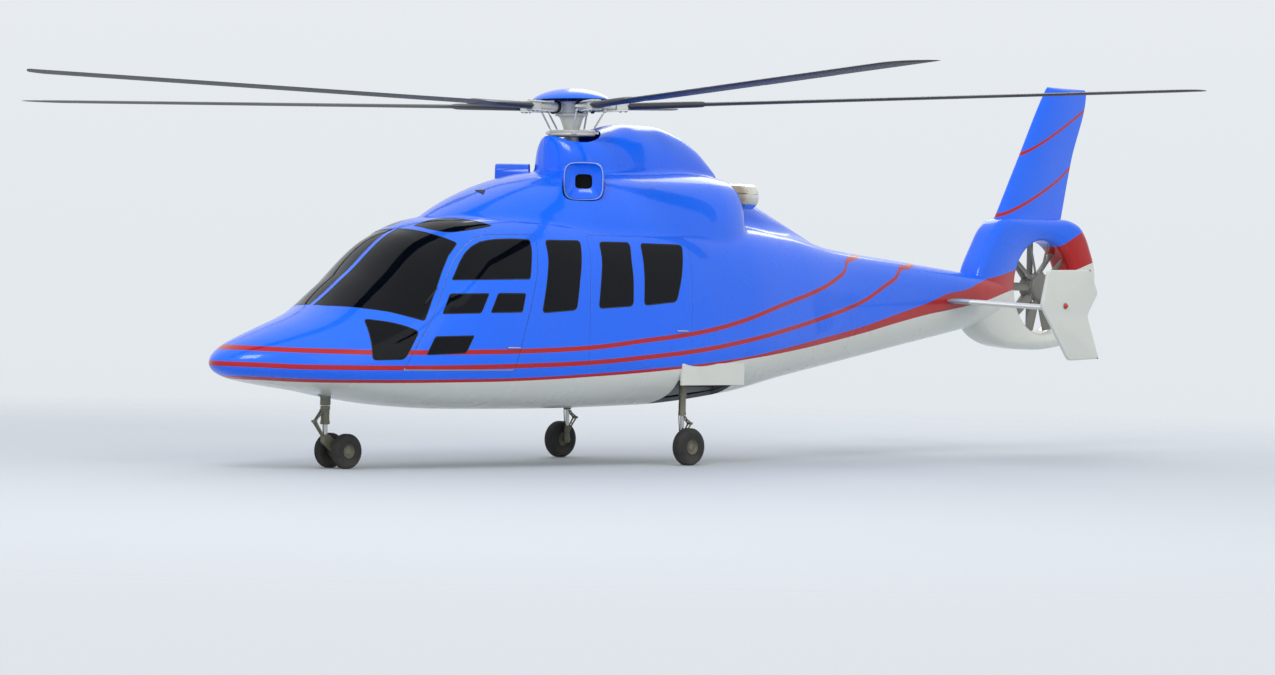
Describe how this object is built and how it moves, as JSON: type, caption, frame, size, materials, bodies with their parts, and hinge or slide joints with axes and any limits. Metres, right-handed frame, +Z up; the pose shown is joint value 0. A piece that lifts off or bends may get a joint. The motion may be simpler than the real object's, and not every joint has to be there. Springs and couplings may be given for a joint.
{
  "type": "helicopter",
  "caption": "Blue helicopter with a long windowed cabin, a bladed main rotor, a ducted tail fan in the fin and wheeled landing gear; carries people by air.",
  "frame": {"origin": "on the ground, on the centreline, between the contact points of the two main wheels", "axes": "+X towards the nose, +Y towards the left (port) side, +Z up"},
  "size_m": [15.13, 12.8205, 4.238],
  "materials": {
    "blue_paint": "gloss",
    "blue_composite": "gloss",
    "pale_grey_composite": "satin",
    "grey_blue_composite": "satin",
    "tinted_glass": "gloss",
    "olive_leg_paint": "satin",
    "tyre": "matte",
    "pale_hub_metal": "satin",
    "black_blade": "satin",
    "grey_fan_metal": "satin",
    "polished_exhaust": "polished",
    "bare_block_metal": "satin",
    "seat_fabric": "matte",
    "black_panel": "matte",
    "floor_metal": "matte",
    "red_lens": "gloss",
    "green_lens": "gloss"
  },
  "bodies": {
    "airframe": {"aft_cowling": "blue_composite", "cabin_door_glass_left": "tinted_glass", "cabin_door_glass_right": "tinted_glass", "cabin_door_left": "blue_paint", "cabin_door_right": "blue_paint", "cabin_floor": "floor_metal", "cabin_shell": "blue_paint", "cabin_window_left": "tinted_glass", "cabin_window_right": "tinted_glass", "canopy_frame": "blue_paint", "chin_window_left": "tinted_glass", "chin_window_right": "tinted_glass", "endplate_left": "pale_grey_composite", "endplate_right": "pale_grey_composite", "engine_cowling": "blue_composite", "engine_left": "bare_block_metal", "engine_right": "bare_block_metal", "exhaust_left": "polished_exhaust", "exhaust_right": "polished_exhaust", "fan_pod": "grey_fan_metal", "fan_shroud": "blue_composite", "front_seats": "seat_fabric", "gear_door_left": "pale_grey_composite", "gear_door_right": "pale_grey_composite", "instrument_panel": "black_panel", "intake_left": "blue_composite", "intake_right": "blue_composite", "main_gearbox": "bare_block_metal", "main_leg_left": "olive_leg_paint", "main_leg_right": "olive_leg_paint", "nose_cone": "blue_paint", "nose_leg": "olive_leg_paint", "position_lamp_left": "red_lens", "position_lamp_right": "green_lens", "rear_bench": "seat_fabric", "rear_fuselage": "blue_paint", "roof_window_left": "tinted_glass", "roof_window_right": "tinted_glass", "rotor_fairing": "blue_composite", "stabiliser": "grey_blue_composite", "tail_boom": "blue_composite", "tail_fin": "blue_composite", "windscreen": "tinted_glass"},
    "main_rotor": {"rotor_hub": "pale_hub_metal", "hub_cap": "blue_composite", "swashplate": "pale_hub_metal", "rotor_blade_1": "black_blade", "rotor_blade_2": "black_blade", "rotor_blade_3": "black_blade", "rotor_blade_4": "black_blade", "rotor_blade_5": "black_blade"},
    "tail_fan": {"tail_fan": "grey_fan_metal"},
    "nose_fork": {"nose_fork": "olive_leg_paint"},
    "nose_wheels": {"nose_wheels": "tyre"},
    "main_wheel_left": {"main_wheel_left": "tyre"},
    "main_wheel_right": {"main_wheel_right": "tyre"},
    "front_door_left": {"front_door_left": "blue_paint", "front_door_glass_left": "tinted_glass"},
    "front_door_right": {"front_door_right": "blue_paint", "front_door_glass_right": "tinted_glass"}
  },
  "joints": [
    {"name": "main_rotor_spin", "type": "hinge", "parent": "airframe", "child": "main_rotor", "pos_m": [0.82, 0, 3.595], "axis": [0.0321, 0, 0.9995], "continuous": true},
    {"name": "tail_fan_spin", "type": "hinge", "parent": "airframe", "child": "tail_fan", "pos_m": [-6.61, 0, 1.905], "axis": [0, 1, 0], "continuous": true},
    {"name": "nose_steering", "type": "hinge", "parent": "airframe", "child": "nose_fork", "pos_m": [3.96, 0, 0.45], "axis": [0, 0, 1], "range_deg": [-60, 60]},
    {"name": "nose_wheels_spin", "type": "hinge", "parent": "nose_fork", "child": "nose_wheels", "pos_m": [3.795, 0, 0.16656], "axis": [0, 1, 0], "continuous": true},
    {"name": "main_wheel_left_spin", "type": "hinge", "parent": "airframe", "child": "main_wheel_left", "pos_m": [0, 0.95, 0.18837], "axis": [0, 1, 0], "continuous": true},
    {"name": "main_wheel_right_spin", "type": "hinge", "parent": "airframe", "child": "main_wheel_right", "pos_m": [0, -0.95, 0.18837], "axis": [0, 1, 0], "continuous": true},
    {"name": "front_door_left_hinge", "type": "hinge", "parent": "airframe", "child": "front_door_left", "pos_m": [3.658, 0.918, 1.12], "axis": [0.5461, 0.0728, -0.8346], "range_deg": [0, 70]},
    {"name": "front_door_right_hinge", "type": "hinge", "parent": "airframe", "child": "front_door_right", "pos_m": [3.658, -0.918, 1.12], "axis": [-0.5461, 0.0728, 0.8346], "range_deg": [0, 70]}
  ]
}
